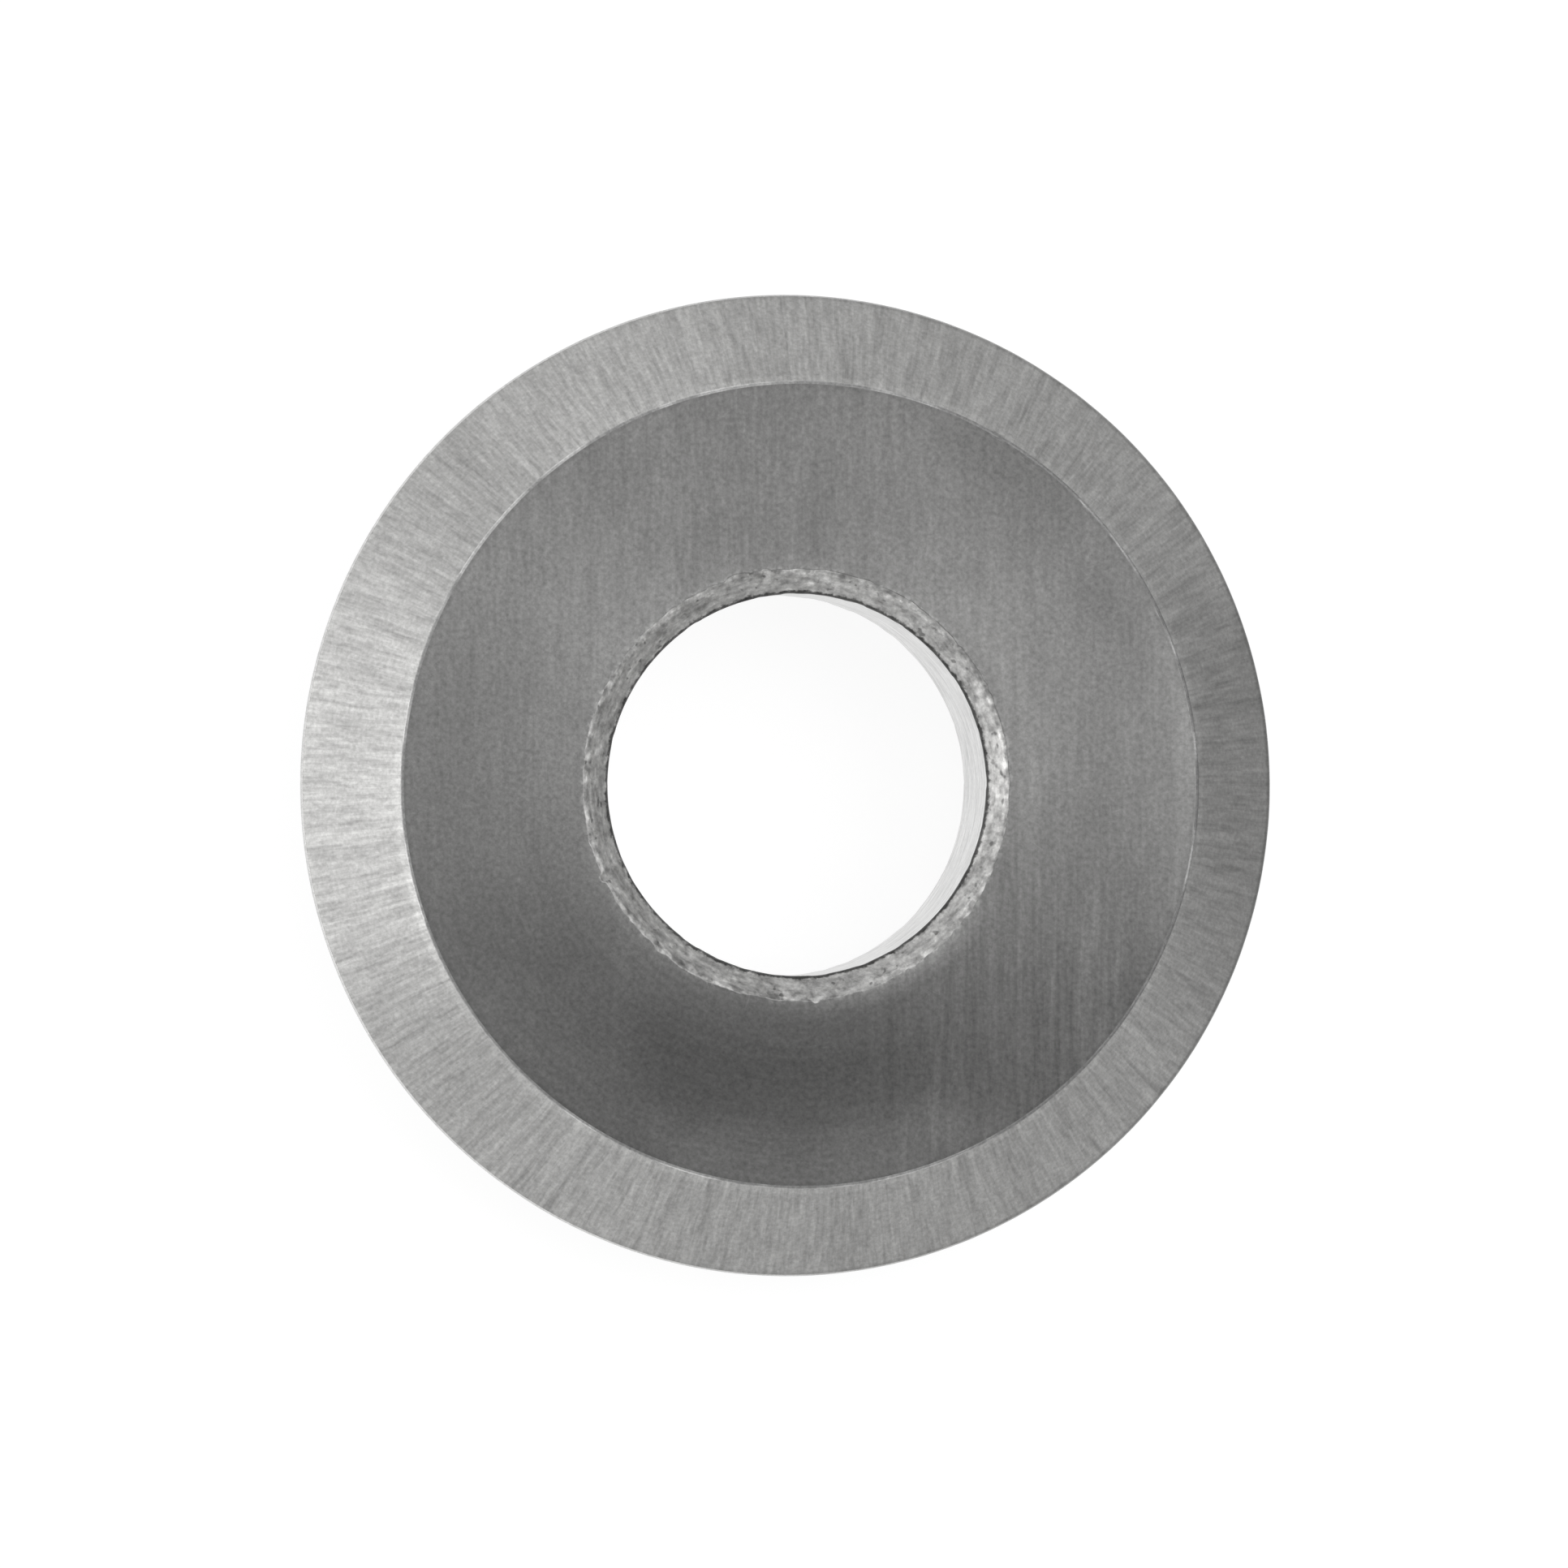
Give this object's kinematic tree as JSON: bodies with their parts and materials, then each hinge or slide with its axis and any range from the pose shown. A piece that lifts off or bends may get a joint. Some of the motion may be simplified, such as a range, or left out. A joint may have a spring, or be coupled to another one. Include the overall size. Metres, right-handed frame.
{
  "type": "tile cutter wheel",
  "caption": "Flat carbide disc with a V-ground cutting edge and a chamfered axle bore, rolled along a tile to score it.",
  "frame": {"origin": "the wheel's centre: on the bore's axis, in the plane of the cutting edge", "axes": "+Z along the bore's axis, out of the upper side; the wheel lies flat on its lower side, and X and Y are alike"},
  "size_m": [0.016, 0.016, 0.003],
  "materials": {
    "ground_carbide": "ground, satin"
  },
  "bodies": {
    "root": {"cutter_wheel": "ground_carbide"}
  },
  "joints": []
}
